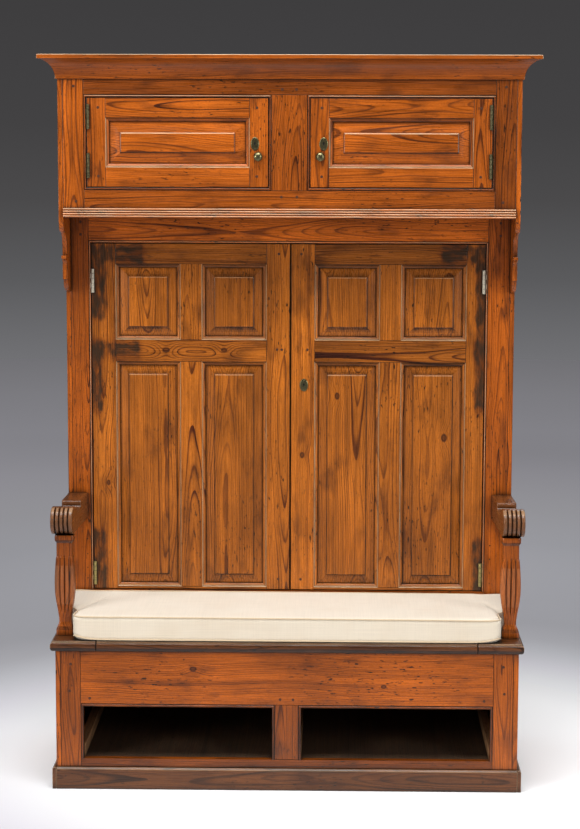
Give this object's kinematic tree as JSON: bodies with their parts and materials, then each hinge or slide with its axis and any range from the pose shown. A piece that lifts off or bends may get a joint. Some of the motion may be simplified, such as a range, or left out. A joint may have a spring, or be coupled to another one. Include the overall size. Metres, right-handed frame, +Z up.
{
  "type": "settle bench",
  "caption": "Panelled pine settle: boxed seat with lifting lid and open bays, tall cupboard back, hood cupboards, scrolled arms and a loose cushion.",
  "frame": {"origin": "on the floor, under the middle of the settle's overall length and depth", "axes": "+X to the viewer's right when facing the seat, +Y from the seat's front towards the wall, +Z up"},
  "size_m": [1.542, 0.637, 2.261],
  "materials": {
    "pine": "waxed orange-brown pine",
    "golden_pine": "waxed golden pine",
    "dark_pine": "dark waxed pine",
    "raw_pine": "unfinished aged pine",
    "aged_brass": "dull aged brass",
    "worn_steel": "worn bright steel",
    "canvas": "plain cream cotton canvas"
  },
  "bodies": {
    "root": {"end_board_left": "pine", "end_board_right": "pine", "back_boards": "raw_pine", "plinth_left": "dark_pine", "plinth_right": "dark_pine", "plinth_front": "dark_pine", "base_frame": "pine", "base_floor": "raw_pine", "well_floor": "raw_pine", "seat_end_left": "dark_pine", "seat_end_right": "dark_pine", "seat_rear": "dark_pine", "lid_hinge_left": "worn_steel", "lid_hinge_right": "worn_steel", "back_frame": "pine", "cupboard_floor": "raw_pine", "tall_hinge_left_upper": "worn_steel", "tall_hinge_left_lower": "worn_steel", "tall_hinge_right_upper": "worn_steel", "tall_hinge_right_lower": "worn_steel", "hood_frame": "pine", "hood_floor": "raw_pine", "hood_top": "raw_pine", "hood_divider": "raw_pine", "reeded_strip": "pine", "hood_hinge_left_upper": "worn_steel", "hood_hinge_left_lower": "worn_steel", "hood_hinge_right_upper": "worn_steel", "hood_hinge_right_lower": "worn_steel", "cornice_front": "pine", "cornice_left": "pine", "cornice_right": "pine", "arm_left": "pine", "arm_right": "pine", "arm_post_left": "pine", "arm_post_right": "pine"},
    "lid": {"seat_lid": "dark_pine", "seat_cushion": "canvas"},
    "tall_door_left": {"tall_door_left": "golden_pine", "panel_left_upper_inner": "golden_pine", "panel_left_upper_outer": "golden_pine", "panel_left_lower_inner": "golden_pine", "panel_left_lower_outer": "golden_pine"},
    "tall_door_right": {"tall_door_right": "golden_pine", "panel_right_upper_inner": "golden_pine", "panel_right_upper_outer": "golden_pine", "panel_right_lower_inner": "golden_pine", "panel_right_lower_outer": "golden_pine", "tall_keyhole_plate": "aged_brass"},
    "tall_lock": {"tall_lock_bolt": "worn_steel"},
    "hood_door_left": {"hood_door_left": "pine", "hood_panel_left": "golden_pine", "hood_keyhole_plate_left": "aged_brass", "knob_left": "aged_brass"},
    "hood_lock_left": {"hood_lock_bolt_left": "worn_steel"},
    "hood_door_right": {"hood_door_right": "pine", "hood_panel_right": "golden_pine", "hood_keyhole_plate_right": "aged_brass", "knob_right": "aged_brass"},
    "hood_lock_right": {"hood_lock_bolt_right": "worn_steel"}
  },
  "joints": [
    {"name": "lid_hinge", "type": "hinge", "parent": "root", "child": "lid", "pos_m": [0, 0.0495, 0.4662], "axis": [-1, 0, 0], "range_deg": [0, 85], "deforming": ["seat_cushion"]},
    {"name": "tall_left_hinge", "type": "hinge", "parent": "root", "child": "tall_door_left", "pos_m": [-0.6295, 0.0787, 1.1115], "axis": [0, 0, -1], "range_deg": [0, 90]},
    {"name": "tall_right_hinge", "type": "hinge", "parent": "root", "child": "tall_door_right", "pos_m": [0.6165, 0.0787, 1.1115], "axis": [0, 0, 1], "range_deg": [0, 90]},
    {"name": "tall_lock_slide", "type": "slide", "parent": "tall_door_right", "child": "tall_lock", "axis": [-1, 0, 0], "range_m": [0, 0.009]},
    {"name": "hood_left_hinge", "type": "hinge", "parent": "root", "child": "hood_door_left", "pos_m": [-0.6205, -0.1003, 1.9935], "axis": [0, 0, -1], "range_deg": [0, 170]},
    {"name": "hood_left_lock_slide", "type": "slide", "parent": "hood_door_left", "child": "hood_lock_left", "axis": [1, 0, 0], "range_m": [0, 0.009]},
    {"name": "hood_right_hinge", "type": "hinge", "parent": "root", "child": "hood_door_right", "pos_m": [0.6205, -0.1003, 1.9935], "axis": [0, 0, 1], "range_deg": [0, 170]},
    {"name": "hood_right_lock_slide", "type": "slide", "parent": "hood_door_right", "child": "hood_lock_right", "axis": [-1, 0, 0], "range_m": [0, 0.009]}
  ]
}
